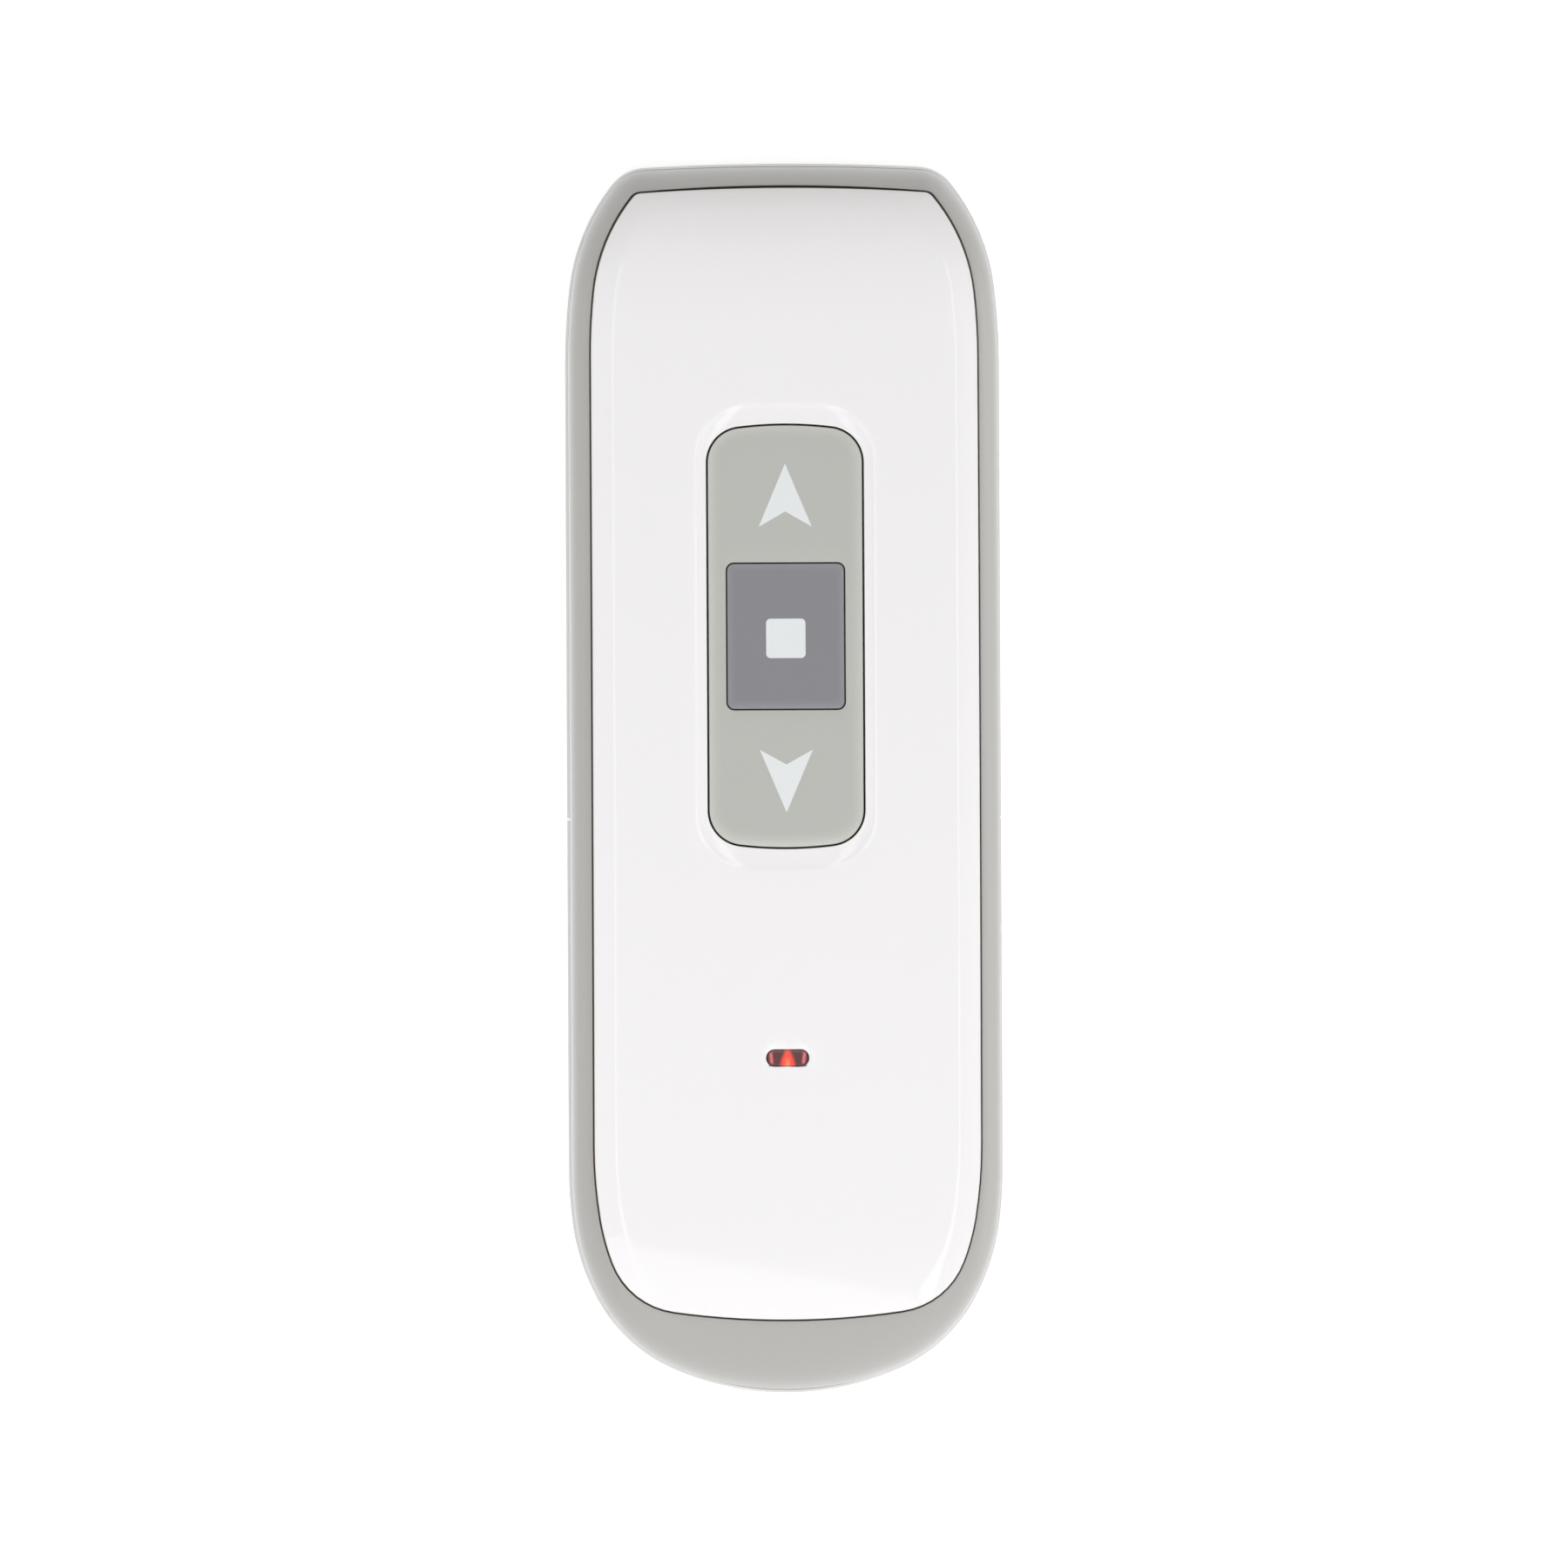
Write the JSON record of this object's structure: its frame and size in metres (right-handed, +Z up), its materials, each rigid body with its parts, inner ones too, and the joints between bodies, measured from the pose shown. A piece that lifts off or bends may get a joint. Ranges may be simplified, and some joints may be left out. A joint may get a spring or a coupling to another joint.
{
  "type": "blind remote control",
  "caption": "Hand-held radio remote for window blinds: long crowned case with a rocker pad for up and down, a stop key in its middle, a light window and a sliding battery door.",
  "frame": {"origin": "middle of the flat back, on the surface that the remote lies on", "axes": "+Y along the remote towards the up key's end, +Z up out of the faceplate, +X to the right"},
  "size_m": [0.043, 0.1218, 0.0155],
  "materials": {
    "white_gloss": "satin",
    "grey_satin": "satin",
    "key_grey": "satin",
    "key_dark": "satin",
    "red_lens": "polished",
    "board_green": "satin",
    "silicone": "matte",
    "carbon": "matte",
    "gold_plate": "satin",
    "led_body": "satin",
    "screw_steel": "satin",
    "holder_black": "satin",
    "cell_steel": "brushed",
    "spring_nickel": "satin",
    "chip_black": "matte",
    "can_steel": "satin",
    "antenna_tin": "satin",
    "chip_ceramic": "matte",
    "switch_metal": "satin",
    "switch_stem": "satin",
    "button_grey": "satin"
  },
  "bodies": {
    "housing": {"faceplate": "white_gloss", "grip_frame": "grey_satin", "rear_cover": "white_gloss", "led_lens": "red_lens", "circuit_board": "board_green", "keypad_mat": "silicone", "contact_pills": "carbon", "key_contacts": "gold_plate", "status_led": "led_body", "case_screws": "screw_steel", "cell_holder": "holder_black", "coin_cell": "cell_steel", "negative_contact": "spring_nickel", "positive_contact": "spring_nickel", "microcontroller": "chip_black", "radio_chip": "chip_black", "crystal": "can_steel", "antenna": "antenna_tin", "chip_components": "chip_ceramic", "pair_switch": "switch_metal"},
    "rocker": {"rocker_key": "key_grey"},
    "stop": {"stop_key": "key_dark"},
    "pair": {"pair_button": "button_grey", "switch_stem": "switch_stem"},
    "door": {"battery_door": "white_gloss"}
  },
  "joints": [
    {"name": "rocker_tilt", "type": "hinge", "parent": "housing", "child": "rocker", "pos_m": [0, 0.01403, 0.0124], "axis": [1, 0, 0], "range_deg": [-2, 2], "stiffness_Nm_per_rad": 0.5, "deforming": ["keypad_mat"]},
    {"name": "stop_press", "type": "slide", "parent": "housing", "child": "stop", "axis": [0, 0, -1], "range_m": [0, 0.0005], "stiffness_N_per_m": 3000, "springref_m": -0.0001, "deforming": ["keypad_mat"]},
    {"name": "pair_press", "type": "slide", "parent": "housing", "child": "pair", "axis": [0, 0, 1], "range_m": [0, 0.00025], "stiffness_N_per_m": 6000, "springref_m": -0.00005},
    {"name": "battery_door_slide", "type": "slide", "parent": "housing", "child": "door", "axis": [0, -1, 0], "range_m": [0, 0.038]}
  ]
}
